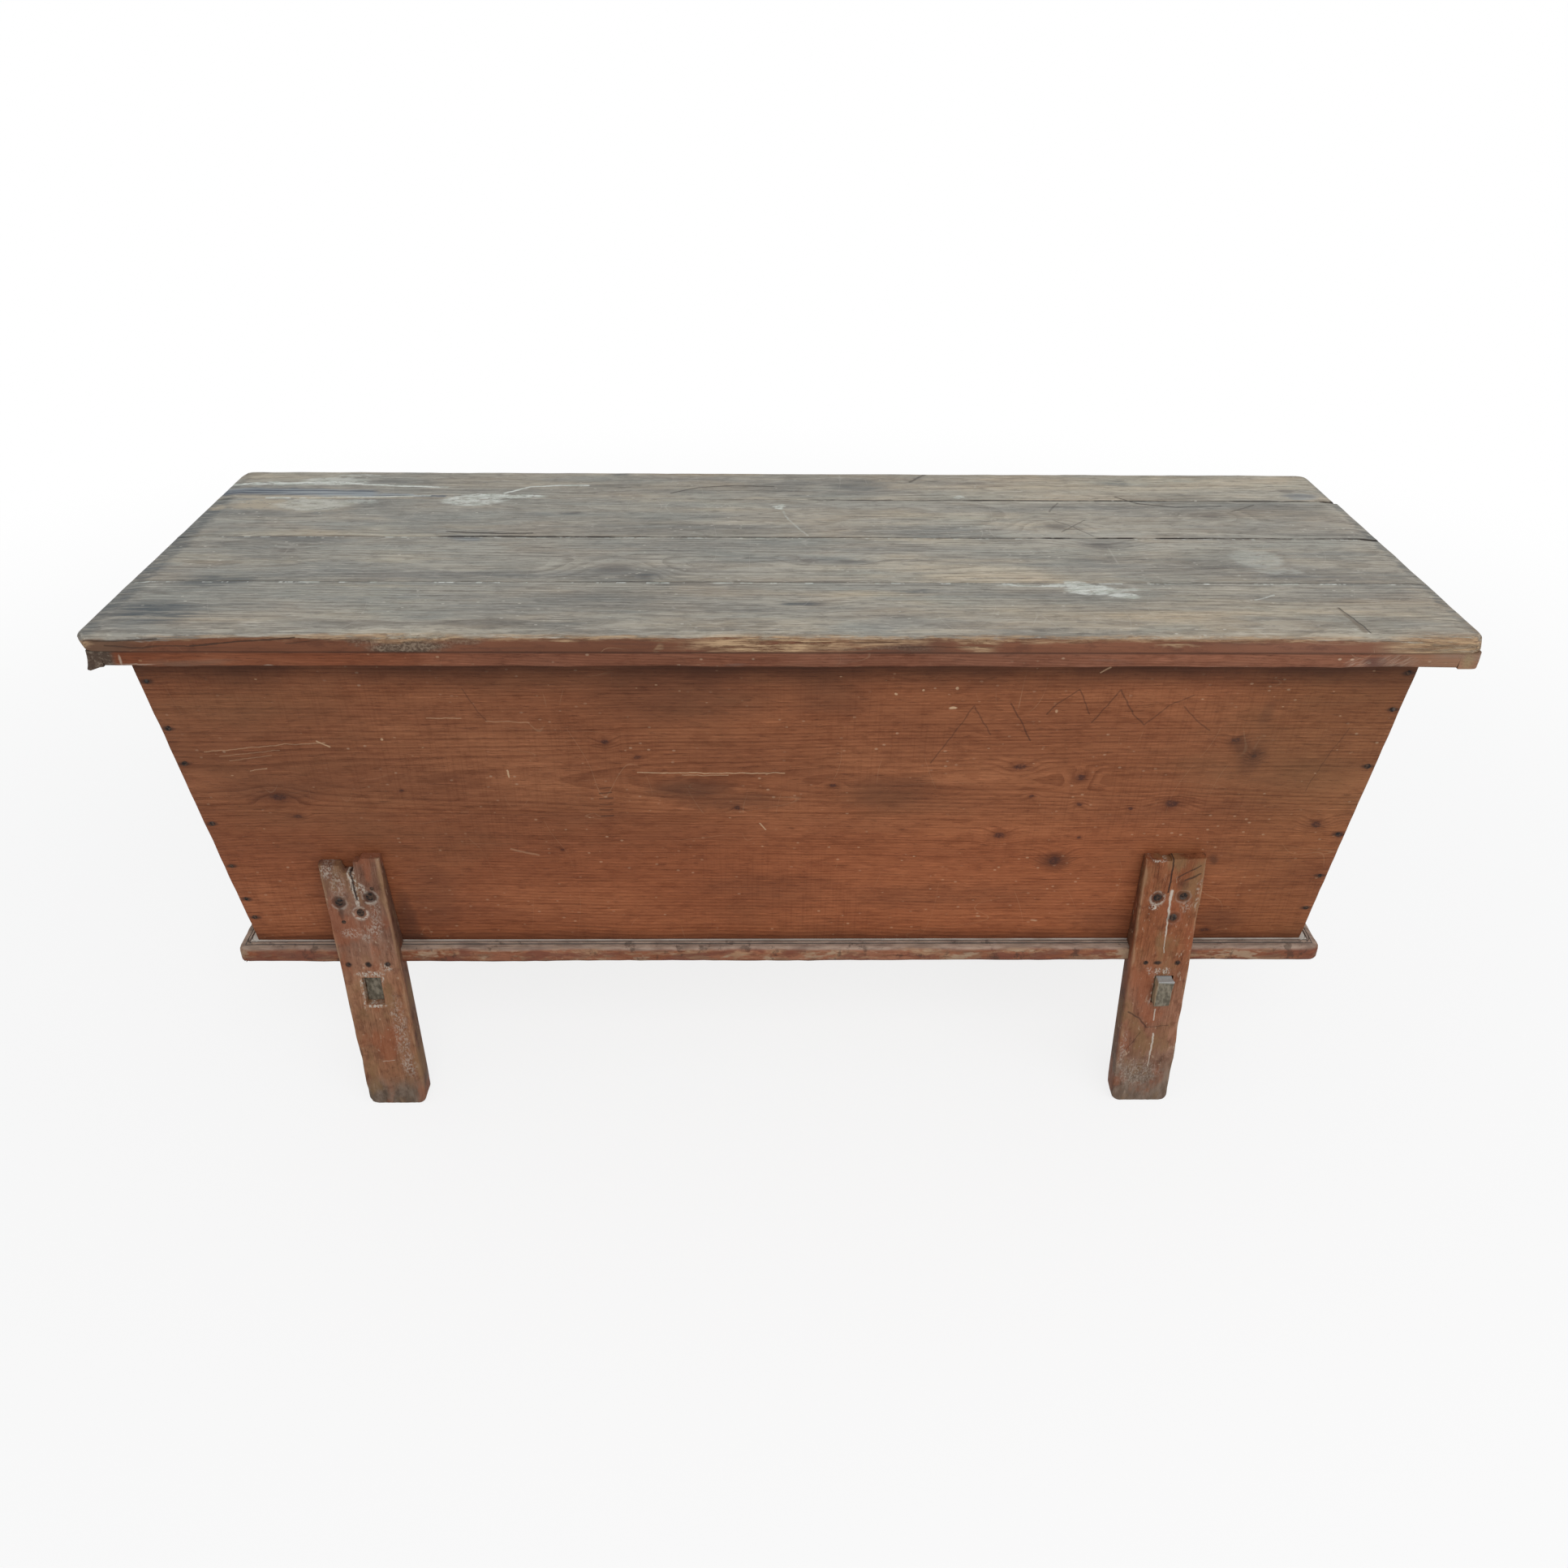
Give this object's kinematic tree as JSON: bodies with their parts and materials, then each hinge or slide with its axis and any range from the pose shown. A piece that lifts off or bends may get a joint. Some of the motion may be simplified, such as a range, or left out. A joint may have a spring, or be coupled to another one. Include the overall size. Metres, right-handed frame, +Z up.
{
  "type": "dough box",
  "caption": "Free-standing pine dough box: a sloping board trough on plank legs, with a flat overhanging lid that lifts off.",
  "frame": {"origin": "on the floor under the middle of the lid", "axes": "+Z up, +X along the length to the right, -Y towards the front, the side with the broken leg top"},
  "size_m": [1.508, 0.546, 0.715],
  "materials": {
    "lid_wood": "weathered grey-brown pine, worn bare at the edges",
    "stained_wood": "old red-brown stain, worn satin",
    "bare_wood": "bare aged pine",
    "leg_wood": "worn brown stain, dirty grey at the foot",
    "iron": "dark rusty wrought nails"
  },
  "bodies": {
    "trough": {"front_upper_board": "stained_wood", "front_lower_board": "stained_wood", "back_upper_board": "stained_wood", "back_lower_board": "stained_wood", "left_end_upper_board": "stained_wood", "left_end_lower_board": "stained_wood", "right_end_upper_board": "stained_wood", "right_end_lower_board": "stained_wood", "bottom_board_front": "stained_wood", "bottom_board_back": "stained_wood", "front_left_leg": "leg_wood", "front_right_leg": "leg_wood", "back_left_leg": "leg_wood", "back_right_leg": "leg_wood", "left_cross_rail": "leg_wood", "right_cross_rail": "leg_wood", "front_corner_nails": "iron", "back_corner_nails": "iron", "front_leg_nails": "iron", "back_leg_nails": "iron", "leg_brads": "iron", "bottom_nails": "iron"},
    "lid": {"lid_board_front": "lid_wood", "lid_board_second": "lid_wood", "lid_board_third": "lid_wood", "lid_board_back": "lid_wood", "lid_strip_front": "stained_wood", "lid_strip_back": "stained_wood", "lid_strip_left": "stained_wood", "lid_strip_right": "stained_wood", "lid_batten_left": "bare_wood", "lid_batten_right": "bare_wood", "lid_strip_nails": "iron", "lid_batten_nails": "iron"}
  },
  "joints": [
    {"name": "lid_lift", "type": "slide", "parent": "trough", "child": "lid", "axis": [0, 0, 1], "range_m": [0, 0.4]}
  ]
}
